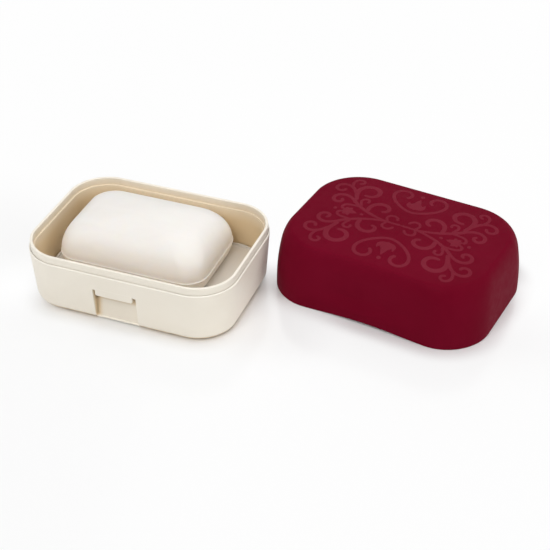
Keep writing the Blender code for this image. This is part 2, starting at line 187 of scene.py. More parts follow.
@dataclass(frozen=True)
class Outline:
    """Columns round a rounded rectangle, anticlockwise seen from above, from the front's left end.

    Each column has its place as a share of the straight core in X and Y, and its outward direction.
    """

    core_x: Array
    core_y: Array
    out_x: Array
    out_y: Array

    @classmethod
    def around(cls, corner_steps: int, front: Array, side: Array) -> "Outline":
        """Columns with finely stepped corners.

        Args:
            corner_steps: the spans in each corner.
            front: rising places along the front's straight part, between -1 and 1.
            side: those along a side's straight part.

        Returns:
            The outline.
        """
        quarter = np.linspace(0.0, np.pi / 2.0, corner_steps + 1)
        runs = (
            (front, -1.0, None, -0.5),
            (1.0, -1.0, quarter, -0.5),
            (1.0, side, None, 0.0),
            (1.0, 1.0, quarter, 0.0),
            (-front, 1.0, None, 0.5),
            (-1.0, 1.0, quarter, 0.5),
            (-1.0, -side, None, 1.0),
            (-1.0, -1.0, quarter, 1.0),
        )
        parts = []
        for share_x, share_y, turned, start in runs:
            angle = start * np.pi + (np.zeros(1) if turned is None else turned)
            parts.append(np.stack(np.broadcast_arrays(share_x, share_y, np.cos(angle), np.sin(angle))))
        return cls(*np.concatenate(parts, 1))

    def grid(self, half_x: Array, half_y: Array, radius: Array, height: Array) -> Array:
        """Rings of the outline, one for each row.

        Formula: the share of the core, which is the half size less the radius, plus the outward
        direction times the radius.

        Args:
            half_x: half the length, for each row or each row and column, as are the others.
            half_y: half the width.
            radius: the corner radius.
            height: the height.

        Returns:
            The points, (rows, columns, 3).
        """
        rows = [np.atleast_1d(v) for v in (half_x, half_y, radius, height)]
        half_x, half_y, radius, height = [v[:, None] if v.ndim == 1 else v for v in rows]
        x = self.core_x * (half_x - radius) + self.out_x * radius
        y = self.core_y * (half_y - radius) + self.out_y * radius
        return np.stack(np.broadcast_arrays(x, y, height), 2)


@dataclass(frozen=True)
class Footprint:
    """The rounded rectangle that a piece stands on."""

    half_x: float
    half_y: float
    corner: float
    middle: Pair = (0.0, 0.0)
    turn: float = 0.0

    def distance(self, place: Array) -> Array:
        """How far places on the floor are outside the footprint.

        Formula: in the footprint's own frame, how far past its straight core, less the corner radius.

        Args:
            place: the places, (..., 2).

        Returns:
            The distance, less than 0 inside.
        """
        x, y = place[..., 0] - self.middle[0], place[..., 1] - self.middle[1]
        cos, sin = math.cos(self.turn), math.sin(self.turn)
        past_x = np.abs(x * cos + y * sin) - (self.half_x - self.corner)
        past_y = np.abs(y * cos - x * sin) - (self.half_y - self.corner)
        outside = np.hypot(np.maximum(past_x, 0.0), np.maximum(past_y, 0.0))
        return outside + np.minimum(np.maximum(past_x, past_y), 0.0) - self.corner


def add_piece(name: str, mesh: Mesh, material: Material) -> Piece:
    """An object at the origin for a finished mesh.

    Args:
        name: the piece's name.
        mesh: its mesh, written in its place.
        material: its finish.

    Returns:
        The object.
    """
    mesh.materials.append(material)
    made = bpy.data.objects.new(name, mesh)
    bpy.context.scene.collection.objects.link(made)
    return made


def make_mesh(name: str, points: Array, quads: Array, triangles: Array) -> Mesh:
    """A smooth-shaded mesh from whole arrays.

    Args:
        name: its name.
        points: the vertices, (n, 3).
        quads: the four-sided faces, (q, 4).
        triangles: the three-sided faces, (t, 3).

    Returns:
        The mesh.
    """
    mesh = bpy.data.meshes.new(name)
    mesh.vertices.add(len(points))
    mesh.vertices.foreach_set("co", points.astype(np.float32).ravel())
    mesh.loops.add(quads.size + triangles.size)
    corners = np.concatenate([quads.ravel(), triangles.ravel()])
    mesh.loops.foreach_set("vertex_index", corners.astype(np.int32))
    starts = np.concatenate([np.arange(len(quads)) * 4, quads.size + np.arange(len(triangles)) * 3])
    mesh.polygons.add(len(starts))
    mesh.polygons.foreach_set("loop_start", starts.astype(np.int32))
    mesh.update(calc_edges=True)
    mesh.validate()
    mesh.shade_smooth()
    return mesh


def skin_faces(rows: int, columns: int) -> tuple[Array, Array]:
    """The faces of a closed skin of rings whose two poles come after all the rings.

    Args:
        rows: how many rings there are.
        columns: the points in each ring.

    Returns:
        The quads between the rings, and the fans of triangles at the poles.
    """
    number = np.arange(rows * columns).reshape(rows, columns)
    after = np.roll(number, -1, 1)
    quads = np.stack([number[:-1], after[:-1], after[1:], number[1:]], 2).reshape(-1, 4)
    low = np.stack([np.full(columns, rows * columns), after[0], number[0]], 1)
    high = np.stack([np.full(columns, rows * columns + 1), number[-1], after[-1]], 1)
    return quads, np.concatenate([low, high])


def poles(low: float, high: float) -> Array:
    """The two poles of a skin about the origin, at their heights."""
    return np.array([(0.0, 0.0, low), (0.0, 0.0, high)])


def closed_skin(name: str, material: Material, grid: Array, ends: Array) -> Piece:
    """A closed skin of rings, (rows, columns, 3), with a fan of triangles from a pole at each end."""
    points = np.concatenate([grid.reshape(-1, 3), ends])
    return add_piece(name, make_mesh(name, points, *skin_faces(*grid.shape[:2])), material)


def carry(mesh: Mesh, name: str, values: Array, *ends: float) -> None:
    """Writes a value for each point, and one for each pole given, as an attribute that a finish reads."""
    given = np.append(values.ravel(), ends).astype(np.float32)
    mesh.attributes.new(name, "FLOAT", "POINT").data.foreach_set("value", given)


# ---------------------------------------------------------------------------------------- finishes


class NodeBoard:
    """The nodes of a material or of the world, with short ways to add and join them."""

    def __init__(self, tree: bpy.types.NodeTree) -> None:
        """Takes the nodes that the board adds to."""
        self.tree = tree

    def fill(self, node: bpy.types.Node, given: Sockets) -> bpy.types.Node:
        """Joins outputs to a node's sockets, or sets the sockets to values.

        Args:
            node: the node.
            given: an output or a value by each socket's name or number.

        Returns:
            The node.
        """
        for key, source in given.items():
            if isinstance(source, Socket):
                self.tree.links.new(source, node.inputs[key])
            else:
                node.inputs[key].default_value = source
        return node

    def add(self, kind: str, given: Sockets, **settings: str) -> bpy.types.Node:
        """Adds a node.

        Args:
            kind: its type.
            given: what its sockets are given, as in fill.
            settings: its settings by their names.

        Returns:
            The node.
        """
        made = self.tree.nodes.new(kind)
        for name, value in settings.items():
            setattr(made, name, value)
        return self.fill(made, given)

    def attribute(self, name: str) -> Socket:
        """A value that the mesh carries."""
        return self.add("ShaderNodeAttribute", {}, attribute_name=name).outputs["Fac"]

    def noise(self, scale: float, detail: float) -> Socket:
        """Noise over the piece's own coordinates, by its cells to the metre and its finer layers."""
        where = self.add("ShaderNodeTexCoord", {}).outputs["Object"]
        return self.add("ShaderNodeTexNoise", {"Vector": where, "Scale": scale, "Detail": detail}).outputs[0]

    def between(self, value: Socket, low: float, high: float, span: Pair = NOISE_SPAN) -> Socket:
        """Spreads a value, so that the ends of its span become the low and the high value."""
        ends = {"From Min": span[0], "From Max": span[1], "To Min": low, "To Max": high}
        return self.add("ShaderNodeMapRange", {"Value": value, **ends}).outputs["Result"]

    def over(self, under: Socket | Colour, share: Socket, tone: Colour) -> Socket:
        """Lays a share of a tone over a colour."""
        given = {"Factor": share, "A": under, "B": tone}
        return self.add("ShaderNodeMix", given, data_type="RGBA").outputs["Result"]

    def maths(self, operation: str, first: Socket, second: Socket) -> Socket:
        """Works out two values together, by one of Blender's operations."""
        return self.add("ShaderNodeMath", {0: first, 1: second}, operation=operation).outputs[0]

    def bump(self, height: Socket, depth: float, **under: Socket) -> Socket:
        """A bump of a depth, with Normal as another bump that it may lie on."""
        return self.add("ShaderNodeBump", {"Height": height, "Distance": depth, **under}).outputs[0]

    def background_rays(self) -> Socket:
        """The test of the rays that show the background: 1 for camera, glossy and transmission rays.

        Returns:
            The largest of the three tests.
        """
        path = self.add("ShaderNodeLightPath", {}).outputs
        shown = self.maths("MAXIMUM", path["Is Camera Ray"], path["Is Glossy Ray"])
        return self.maths("MAXIMUM", shown, path["Is Transmission Ray"])


class Paint(NodeBoard):
    """A new material's nodes, round its Principled shader."""

    def __init__(self, name: str) -> None:
        """Starts the material.

        Args:
            name: its name.
        """
        self.material = bpy.data.materials.new(name)
        self.material.use_nodes = True
        super().__init__(self.material.node_tree)
        self.shader = self.tree.nodes["Principled BSDF"]


@dataclass(frozen=True)
class Finish:
    """What the finishes share: two tones, a handled gloss, a slow ripple and a fine grain.

    Each pattern is a noise, given as its cells to the metre and its finer layers.
    """

    name: str
    dark: Colour
    light: Colour
    smooth: float
    rough: float
    handling: Pair = (260.0, 5.0)
    ripple: Pair = (90.0, 2.0)
    ripple_depth: float = 0.004 * MM
    grain: Pair = (2600.0, 2.0)
    grain_depth: float = 0.010 * MM

    def surfaced(self, board: Paint, tone: Socket) -> Material:
        """Gives the shader its colour, its gloss and its bumps.

        Args:
            board: the material's nodes.
            tone: the colour.

        Returns:
            The material.
        """
        gloss = board.between(board.noise(*self.handling), self.smooth, self.rough)
        wave = board.bump(board.noise(*self.ripple), self.ripple_depth)
        relief = board.bump(board.noise(*self.grain), self.grain_depth, Normal=wave)
        board.fill(board.shader, {"Base Color": tone, "Roughness": gloss, "Normal": relief})
        return board.material


@dataclass(frozen=True)
class MouldedPlastic(Finish):
    """Moulded plastic: a faintly uneven colour, with warm painted shade deep inside and painted highlights
    along its edges.
    """

    drift: Pair = (38.0, 3.0)
    specular: float = 0.5
    # The tone of the painted shade inside and in recesses, and the darker tone of the deepest painted shade.
    inside: Colour | None = None
    deepest_shade: Colour = linear(112, 88, 56)
    # Whether painted highlights are laid along edges, and their pale tone.
    painted_highlights: bool = False
    highlight_tone: Colour = linear(255, 249, 238)

    def material(self) -> Material:
        """The finish as a material.

        Returns:
            The material.
        """
        board = Paint(self.name)
        tone = board.over(self.dark, board.between(board.noise(*self.drift), 0.0, 1.0), self.light)
        # Painted shade, laid by the mesh's value: up to 1 the inside tone, from 1 to 2 the deepest tone.
        if self.inside:
            depth = board.attribute(PAINTED_SHADE)
            tone = board.over(tone, board.between(depth, 0.0, 1.0, (0.0, 1.0)), self.inside)
            tone = board.over(tone, board.between(depth, 0.0, 1.0, (1.0, 2.0)), self.deepest_shade)
        # Painted highlight: a pale tone laid where the mesh marks edges.
        if self.painted_highlights:
            tone = board.over(tone, board.attribute(PAINTED_HIGHLIGHT), self.highlight_tone)
        board.fill(board.shader, {"Specular IOR Level": self.specular})
        return self.surfaced(board, tone)


@dataclass(frozen=True)
class MilledSoap(Finish):
    """Milled soap: waxy, a little translucent, with the soft streaks that milling leaves."""

    smooth: float = 0.36
    rough: float = 0.50
    handling: Pair = (420.0, 4.0)
    ripple: Pair = (110.0, 2.0)
    ripple_depth: float = 0.01 * MM
    grain: Pair = (1900.0, 3.0)
    grain_depth: float = 0.012 * MM
    streaks: Pair = (160.0, 4.0)
    swirl: float = 0.6
    drawn_out: Triple = (0.35, 1.0, 1.0)
    depth: float = 1.4 * MM
    translucency: float = 0.35
    reach: Triple = (1.0, 0.8, 0.6)

    def material(self) -> Material:
        """The finish as a material.

        Returns:
            The material.
        """
        board = Paint(self.name)
        where = board.add("ShaderNodeTexCoord", {}).outputs["Object"]
        drawn = board.add("ShaderNodeMapping", {"Vector": where, "Scale": self.drawn_out}).outputs[0]
        scale, detail = self.streaks
        given = {"Vector": drawn, "Scale": scale, "Detail": detail, "Distortion": self.swirl}
        streak = board.add("ShaderNodeTexNoise", given).outputs["Fac"]
        tone = board.over(self.dark, board.between(streak, 0.0, 1.0), self.light)
        glow = {"Weight": self.translucency, "Scale": self.depth, "Radius": self.reach}
        board.fill(board.shader, {"Subsurface " + name: value for name, value in glow.items()})
        return self.surfaced(board, tone)


# -------------------------------------------------------------------------------------------- base


@dataclass(frozen=True)
class Section:
    """The rows of a wall's section: insets, heights, and 1 outside, -1 inside and 0 on the lip."""

    inset: Array
    height: Array
    side: Array


@dataclass
class BaseShell:
    """The ivory lower box: drafted wall, shoulder with a fine groove, lip, ledge and finger pocket.

    The tables and the lists of rows and columns are in millimetres, and the rest is in metres.
    """

    length: float = 110.0 * MM
    width: float = 79.6 * MM
    corner: float = 21.0 * MM
    shoulder: float = 28.4 * MM
    taper: float = 2.05 * MM
    foot: float = 4.4 * MM
    wall: float = 3.0 * MM
    floor: float = 2.2 * MM
    inner_foot: float = 3.0 * MM
    flat_from: float = 14.0 * MM
    lip_rise: float = 4.0 * MM
    lip_step: float = 0.85 * MM
    lip_wall: float = 1.45 * MM
    groove_depth: float = 0.35 * MM
    groove_start: float = 0.66 * MM
    groove_draft: float = 0.02 * MM
    rim_radii: Floats = (0.62, 0.02, 0.03, 0.03, 0.5, 0.5, 0.2, 0.3)
    rim_ends: Pair = (27.7 * MM, 26.0 * MM)
    supports: Pair = (0.3 * MM, 0.05 * MM)
    arc_steps: tuple[int, int, int] = (40, 6, 10)
    outer_rows: Floats = (
        6.0, 8.5, 11.0, 13.5, 16.0, 18.0, 18.6, 18.76, 18.82, 18.86, 18.885,
        18.9, 18.915, 18.94, 18.98, 19.06, 19.2, 21.0, 23.0, 25.0, 27.0, 27.6,
    )
    inner_rows: Floats = (24.0, 22.5, 21.6, 21.0, 20.7, 20.5, 20.3, 20.0, 19.0, 16.0, 12.0, 9.0, 7.0)
    corner_steps: int = 28
    side_spans: int = 8
    even_columns: Floats = (
        -31.0, -26.0, -21.0, -18.0, -10.0, -7.0, -4.0, -1.0, 2.0, 5.0, 15.0, 19.0, 24.0, 29.0,
    )
    edge_places: Floats = (-1.0, -0.6, -0.27, -0.07, 0.0, 0.07, 0.2, 0.45, 0.9, 1.6, 2.8, 4.5)
    edge_shares: Floats = (0.0, 0.004, 0.02, 0.055, 0.1, 0.35, 0.62, 0.78, 0.88, 0.95, 0.988, 1.0)
    edge_columns: Floats = (-2.0, 2.2, 3.6, 5.5)
    pocket: Pair = (-13.25 * MM, 9.65 * MM)
    pocket_top: float = 18.9 * MM
    pocket_depths: Pair = (1.5 * MM, 5.4 * MM)
    pocket_soft: float = 0.3 * MM
    pocket_fade: Table = (
        (-0.14, 1.0), (-0.08, 0.99), (-0.04, 0.97), (-0.015, 0.9),
        (0.0, 0.5), (0.015, 0.1), (0.04, 0.03), (0.08, 0.01), (0.16, 0.0),
    )
    sill: Pair = (1.55 * MM, 1.85 * MM)
    pocket_wall: float = 1.6 * MM
    housing_soft: float = 1.0 * MM
    housing_cap: Table = ((-0.5, 1.0), (0.0, 0.9), (0.5, 0.45), (1.1, 0.0))
    # The painted shade: how deep inside it grows, its onset, how much falls in the pocket, its corners and
    # behind the tongue, and under the foot.
    shade_depth: float = 10.5 * MM
    shade_onset: float = 0.5
    recess_full: float = 2.0 * MM
    recess_least: float = 0.1
    recess_deep: float = 1.2
    corner_shade: Pair = (1.75, 0.6)
    corner_reach: Pair = (3.9 * MM, 1.4 * MM)
    deep_from: Pair = (11.0 * MM, 14.0 * MM)
    foot_shade: Triple = (1.5 * MM, 2.7 * MM, 1.1)
    # The painted highlights: on the shoulder's edge, the lip's top, the pocket's right edge and its sill.
    shoulder_highlight: Triple = (0.28 * MM, 0.29 * MM, 0.8)
    lip_highlight: Pair = (0.35 * MM, 0.3)
    edge_highlight: Pair = (0.35 * MM, 0.6 * MM)
    sill_highlight: Pair = (0.5 * MM, 0.8)

    @property
    def top(self) -> float:
        """The height of the lip."""
        return self.shoulder + self.lip_rise

    def inset_at(self, height: Array | float) -> Array | float:
        """How far the drafted wall stands in at a height: the taper, falling evenly to the shoulder."""
        return self.taper * (1.0 - height / self.shoulder)

    def pocket_at(self, height: Array) -> Array:
        """How far the pocket's back stands in at a height: the wall's inset, a foot depth and a lean."""
        low, high = self.pocket_depths
        return self.inset_at(height) + low + (high - low) / self.pocket_top * height

    @property
    def housing(self) -> Pair:
        """The ends of the pocket's housing along the front."""
        return self.pocket[0] - self.pocket_wall, self.pocket[1] + self.pocket_wall

    def footprint(self) -> Footprint:
        """What the base stands on."""
        inset = self.taper + self.foot / 2
        return Footprint(self.length / 2 - inset, self.width / 2 - inset, self.corner - inset)

    def wall_rows(self, heights: Floats, behind: float) -> Array:
        """Rows of the drafted wall at heights in millimetres, at a depth behind its outside."""
        height = np.array(heights) * MM
        return np.stack([behind + self.inset_at(height), height], 1)

    def profile(self) -> Section:
        """The section through the wall, from the underside round to the floor inside.

        Returns:
            Its rows.
        """
        low = self.shoulder - self.groove_depth
        inner = self.lip_step + self.lip_wall
        start, end = self.rim_ends
        support, rim_support = self.supports
        foot_steps, rim_steps, floor_steps = self.arc_steps
        corners = np.array([(self.flat_from, 0.0), (self.taper, 0.0), (0.0, self.shoulder)])
        outer = filleted(corners, np.array([self.foot]), foot_steps, support)[:-1]
        rim_corners = np.array(
            [
                (self.inset_at(start), start),
                (0.0, self.shoulder),
                (self.groove_start, self.shoulder),
                (self.groove_start + self.groove_draft, low),
                (self.lip_step - self.groove_draft, low),
                (self.lip_step, self.top),
                (inner, self.top),
                (inner, self.shoulder),
                (self.wall, self.shoulder),
                (self.wall + self.inset_at(end), end),
            ]
        )
        rim = filleted(rim_corners, np.array(self.rim_radii) * MM, rim_steps, rim_support)[1:]
        inner_wall = self.wall_rows(self.inner_rows, self.wall)
        foot_corner = (self.wall + self.inset_at(self.floor), self.floor)
        corners = np.array([inner_wall[-1], foot_corner, (self.flat_from, self.floor)])
        ground = filleted(corners, np.array([self.inner_foot]), floor_steps, support)[1:]
        parts = (outer, self.wall_rows(self.outer_rows, 0.0), rim, inner_wall, ground)
        inset, height = np.concatenate(parts).T
        side = np.repeat([1.0, 1.0, 0.0, -1.0, -1.0], [len(part) for part in parts])
        return Section(inset, height, side)

    def window(self, place: Array, edges: Pair, soft: float) -> Array:
        """A share that is 1 between two edges and 0 outside, with small rounded corners.

        Args:
            place: where the share is wanted.
            edges: the left and the right edge.
            soft: how wide the rounding is beside each edge.

        Returns:
            The share.
        """
        offset, share = np.array(self.edge_places) * soft, self.edge_shares
        places = np.concatenate([edges[0] + offset, edges[1] - offset[::-1]])
        return np.interp(place, places, share + share[::-1])

    def front_places(self) -> Array:
        """Rising places along the front's straight part, close at the pocket's and housing's edges.

        Returns:
            The places.
        """
        places = [np.array(self.even_columns) * MM]
        for (left, right), soft in ((self.pocket, self.pocket_soft), (self.housing, self.housing_soft)):
            spread = soft * np.array(self.edge_places + self.edge_columns)
            places += [left + spread, right - spread]
        return np.unique(np.concatenate(places))

    def gains(self, rows: Section) -> tuple[Array, Array]:
        """How much further in than the wall the pocket's back and its housing stand.

        Formula: the rounded larger inset less the wall's, fading over the pocket's top and sill and over
        the housing's cap.

        Args:
            rows: the wall's rows.

        Returns:
            The pocket's gain on the rows outside, and the housing's on those inside.
        """
        fade = read_off(self.pocket_fade, rows.height - self.pocket_top)
        fade *= np.clip((rows.height - self.sill[0]) / (self.sill[1] - self.sill[0]), 0.0, 1.0)
        pocket = soft_max(rows.inset, self.pocket_at(rows.height), self.pocket_soft) - rows.inset
        top = self.pocket_top + self.pocket_wall
        cap = read_off(self.housing_cap, rows.height - top)
        behind = self.pocket_at(np.minimum(rows.height, top)) + self.pocket_wall
        housing = soft_max(rows.inset, behind, self.pocket_soft) - rows.inset
        return pocket * fade * (rows.side > 0), housing * cap * (rows.side < 0)

    def painted_shade(self, rows: Section, x: Array, gain: Array, in_pocket: Array) -> Array:
        """How much painted shade the surface gets, warm and dark, where shade falls inside, in the pocket
        and under the foot.

        Formula: inside, a power of the depth under the lip. Under the foot, a smooth step down. In the
        pocket, a square that falls from each side over its reach, plus a smooth step behind the tongue.

        Args:
            rows: the wall's rows.
            x: each column's place along the front.
            gain: how much further in the pocket stands on each row.
            in_pocket: each column's share of the pocket.

        Returns:
            The painted shade, (rows, columns), 1 for the inside's tone and 2 for the deepest.
        """
        # Painted shade deep inside, under the foot, in the pocket's corners and behind the tongue.
        past_lip = np.cumsum(rows.height >= self.top - TINY) > 0
        sunk = np.clip((self.top - rows.height) / self.shade_depth, 0.0, 1.0) ** self.shade_onset * past_lip
        low, high, most = self.foot_shade
        on_foot = (rows.side > 0) & (rows.inset < self.flat_from)
        underfoot = most * smooth_step(rows.height, high, low) * on_foot
        sides = zip((x - self.pocket[0], self.pocket[1] - x), self.corner_reach, self.corner_shade)
        beside = sum(most * np.clip(1.0 - place / reach, 0.0, 1.0) ** 2 for place, reach, most in sides)
        behind = self.recess_deep * smooth_step(rows.height, *self.deep_from)
        recess = self.recess_least + beside[None, :] + behind[:, None]
        recess = recess * np.minimum(gain / self.recess_full, 1.0)[:, None] * in_pocket
        return np.maximum(sunk[:, None] + underfoot[:, None] * (1.0 - in_pocket), recess)

    def highlight_share(self, rows: Section, at_edge: Array, gain: Array, in_pocket: Array) -> Array:
        """How much painted highlight the surface gets: the shoulder, the lip, and the pocket's edge and
        sill.

        Args:
            rows: the wall's rows.
            at_edge: how far each column is from the pocket's right edge.
            gain: how much further in the pocket stands on each row.
            in_pocket: each column's share of the pocket.

        Returns:
            The share of painted highlight, (rows, columns).
        """
        level, reach, most = self.shoulder_highlight
        near = np.abs(rows.height - self.shoulder + level) < reach
        on_shoulder = (rows.side == 0.0) & near & (rows.inset < self.groove_start)
        depth, some = self.lip_highlight
        on_lip = (rows.side == 0.0) & (rows.height > self.top - depth)
        rows_share = np.where(on_shoulder, most, np.where(on_lip, some, 0.0))
        reach, full = self.edge_highlight
        edge = np.clip(1.0 - at_edge / reach, 0.0, 1.0)[None, :] * np.minimum(gain / full, 1.0)[:, None]
        reach, most = self.sill_highlight
        on_sill = np.clip(1.0 - np.abs(rows.height - self.sill[0]) / reach, 0.0, 1.0)
        sill = most * ((rows.side > 0)[:, None] * on_sill[:, None]) * in_pocket
        return np.maximum(rows_share[:, None], np.maximum(edge, sill))

    def build(self, material: Material) -> Piece:
        """The base's skin.

        Args:
            material: its finish.

        Returns:
            The piece.
        """
        core = self.length / 2 - self.corner
        outline = Outline.around(self.corner_steps, self.front_places() / core, even_places(self.side_spans))
        rows = self.profile()
        pocket, housing = self.gains(rows)
        at_front = (outline.core_y == -1.0) & (outline.out_x**2 < TINY)
        x = outline.core_x * core
        in_pocket = self.window(x, self.pocket, self.pocket_soft) * at_front
        in_housing = self.window(x, self.housing, self.housing_soft) * at_front
        deep = rows.inset[:, None] + pocket[:, None] * in_pocket + housing[:, None] * in_housing
        grid = outline.grid(self.length / 2 - deep, self.width / 2 - deep, self.corner - deep, rows.height)
        made = closed_skin("base_skin", material, grid, poles(0.0, self.floor))
        at_edge = np.where(at_front, np.abs(x - self.pocket[1]), self.length)
        # Painted shade: none at the underside's pole, the full inside tone at the floor's pole.
        carry(made.data, PAINTED_SHADE, self.painted_shade(rows, x, pocket, in_pocket), 0.0, 1.0)
        # Painted highlights along the edges.
        carry(made.data, PAINTED_HIGHLIGHT, self.highlight_share(rows, at_edge, pocket, in_pocket), 0.0, 0.0)
        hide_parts("base_shell")
        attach(made, Body.BASE.value)
        return made


@dataclass
class PressTab:
    """The tongue over the finger pocket: one moulding with the wall, so its root shows no line."""

    base: BaseShell
    centre: float = -2.15 * MM
    width: float = 19.7 * MM
    drop: float = 3.3 * MM
    thickness: float = 1.6 * MM
    corner: float = 0.9 * MM
    least_corner: float = 0.05 * MM
    edge: float = 0.28 * MM
    edge_steps: int = 6
    support: float = 0.06 * MM
    flat_from: float = 1.2 * MM
    corner_steps: int = 12
    spans: tuple[int, int] = (8, 4)
    root_rise: float = 1.1 * MM
    proud: float = 0.012 * MM
    # The painted highlight on the tab's rounded edges.
    highlight_strength: float = 0.8
    bend: Pair = (18.6 * MM, 17.6 * MM)

    def build(self, material: Material) -> Piece:
        """The tab's skin: a thin rounded slab that follows the wall, bending at its root.

        Args:
            material: its finish.

        Returns:
            The piece.
        """
        low = self.base.pocket_top - self.drop
        high = self.base.pocket_top + self.root_rise
        half_z = (high - low) / 2
        near, far = self.flat_from, self.thickness
        corners = np.array([(near, 0.0), (0.0, 0.0), (0.0, far), (near, far)])
        path = filleted(corners, np.array([self.edge, self.edge]), self.edge_steps, self.support)
        inset, depth = path.T
        outline = Outline.around(self.corner_steps, *map(even_places, self.spans))
        radius = np.maximum(self.corner - inset, self.least_corner)
        flat = outline.grid(self.width / 2 - inset, half_z - inset, radius, depth)
        grid, ends = (self.standing(points, half_z + low) for points in (flat, poles(0.0, self.thickness)))
        made = closed_skin("tab_skin", material, grid, ends)
        # Painted highlight on the rows round the slab's front edge.
        on_edge = (np.arange(len(path)) > 0) & (inset < self.edge) & (depth < self.edge)
        carry(made.data, PAINTED_HIGHLIGHT, np.repeat(on_edge * self.highlight_strength, flat.shape[1]), 0.0, 0.0)
        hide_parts("press_tab")
        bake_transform(made)
        return made

    def standing(self, flat: Array, middle: float) -> Array:
        """Stands flat points (along, up, depth) in the wall.

        Formula: the depth runs inwards from the drafted wall, less the little that the tab is proud.

        Args:
            flat: the points.
            middle: the height of the slab's middle.

        Returns:
            The points in place.
        """
        z = flat[..., 1] + middle
        y = self.base.inset_at(z) - self.base.width / 2 - self.proud + flat[..., 2]
        return np.stack([flat[..., 0] + self.centre, y, z], -1)


# ------------------------------------------------------------------------------------ tray and soap


@dataclass
class DrainTray:
    """The loose grey-beige panel under the soap."""

    sharp: float = math.radians(35.0)
    weld: float = 0.002 * MM
    # The painted highlight along the top of the rim: how far down it reaches and how strong it is.
    highlight_depth: float = 0.5 * MM
    highlight_strength: float = 0.7

    def build(self, material: Material, node: Piece) -> Piece:
        """The tray's skin: its solid's own surface, welded and smoothly shaded.

        Args:
            material: its finish.
            node: the tray's solid.

        Returns:
            The piece.
        """
        loose = bmesh.new()
        loose.from_mesh(node.data)
        bmesh.ops.remove_doubles(loose, verts=loose.verts, dist=self.weld)
        mesh = bpy.data.meshes.new("tray_skin")
        loose.to_mesh(mesh)
        loose.free()
        mesh.materials.clear()
        mesh.shade_smooth()
        mesh.set_sharp_from_angle(angle=self.sharp)
        places = np.empty(len(mesh.vertices) * 3, np.float32)
        mesh.vertices.foreach_get("co", places)
        height = places[2::3]
        # Painted highlight over the tray's highest part.
        near_top = (height - height.max() + self.highlight_depth) / self.highlight_depth
        carry(mesh, PAINTED_HIGHLIGHT, self.highlight_strength * smooth_step(near_top))
        made = add_piece("tray_skin", mesh, material)
        made.modifiers.new("even_shading", "WEIGHTED_NORMAL").keep_sharp = True
        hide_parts("drain_tray")
        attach(made, Body.TRAY.value)
        return made


def dome(half: float, top: float, run: float, rise: float, crown: float, lean: float, steps: int) -> Array:
    """Rows over a soft edge and on over a crown.

    Formula: a piece of an ellipse, from the wall's lean to the slope where the crown takes over, and a
    parabola over rings that shrink towards the middle.

    Args:
        half: half the width under the edge.
        top: the height of the middle.
        run: how far in the edge comes.
        rise: how high the edge is.
        crown: how high the crown is.
        lean: the wall's slope where the edge starts.
        steps: the rows on each part.

    Returns:
        The rows as (inset, height, scale), (n, 3).
    """
    slope = 2.0 * crown / (half - run)
    first = math.atan(lean * rise / run)
    last = math.pi / 2 - math.atan(slope * run / rise)
    angle = np.linspace(first, last, steps + 1)
    inset = run * (math.cos(first) - np.cos(angle)) / (math.cos(first) - math.cos(last))
    upward = (math.sin(last) - np.sin(angle)) / (math.sin(last) - math.sin(first))
    edge = np.stack([inset, top - crown - rise * upward, np.ones_like(angle)], 1)
    scale = 1.0 - np.linspace(0.0, 1.0, steps + 1)[1:-1]
    over = np.stack([np.full_like(scale, run), top - crown * scale**2, scale], 1)
    return np.concatenate([edge, over])


@dataclass
class SoapBar:
    """The white bar: an upright foot, a fine ridge where its dies met, and a soft pillow top."""

    length: float = 80.0 * MM
    width: float = 52.8 * MM
    height: float = 26.56 * MM
    corner: float = 11.5 * MM
    parting: float = 6.6 * MM
    ridge: float = 0.32 * MM
    ridge_rise: float = 0.5 * MM
    undercut: float = 1.7 * MM
    undercut_power: float = 1.6
    edge_run: float = 10.8 * MM
    crown: float = 2.9 * MM
    most_radius_share: float = 0.97
    foot_rows: int = 10
    ridge_rows: int = 9
    top_steps: int = 22
    corner_steps: int = 22
    spans: int = 12

    def rows(self) -> Array:
        """The bar's rows, from its underside to its crown.

        Formula: the foot's inset is a power of the share of its height that is left, and the ridge
        is a raised cosine.

        Returns:
            The rows as (inset, height, scale), (n, 3).
        """
        share = np.linspace(1.0, 0.0, self.foot_rows)
        low = self.parting - self.ridge_rise
        inset = self.undercut * share**self.undercut_power
        foot = np.stack([inset, low * (1.0 - share), np.ones_like(share)], 1)
        angle = np.pi * even_places(self.ridge_rows + 1)
        bulge = self.ridge * (0.5 + 0.5 * np.cos(angle))
        level = self.parting + self.ridge_rise * angle / np.pi
        ridge = np.stack([-bulge, level, np.ones_like(angle)], 1)
        body = self.parting + self.ridge_rise
        rise = self.height - self.crown - body
        top = dome(self.width / 2, self.height, self.edge_run, rise, self.crown, 0.0, self.top_steps)
        return np.concatenate([foot, ridge, top])

    def build(self, material: Material, node_box: tuple[Vector, Vector]) -> Piece:
        """The bar's skin, standing where its solid stands.

        Args:
            material: its finish.
            node_box: the solid's lowest and highest corners.

        Returns:
            The piece.
        """
        inset, height, scale = self.rows().T
        half_x = (self.length / 2 - self.ridge - inset) * scale
        half_y = (self.width / 2 - self.ridge - inset) * scale
        radius = np.minimum(self.corner * scale, self.most_radius_share * half_y)
        even = even_places(self.spans)
        outline = Outline.around(self.corner_steps, even, even)
        low, high = np.array(node_box[0]), np.array(node_box[1])
        centre = np.array([(low[0] + high[0]) / 2, (low[1] + high[1]) / 2, low[2]])
        grid = outline.grid(half_x, half_y, radius, height) + centre
        made = closed_skin("soap_skin", material, grid, centre + poles(0.0, self.height))
        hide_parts("soap_bar")
        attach(made, Body.SOAP.value)
        return made


# ------------------------------------------------------------------------------------------- cover


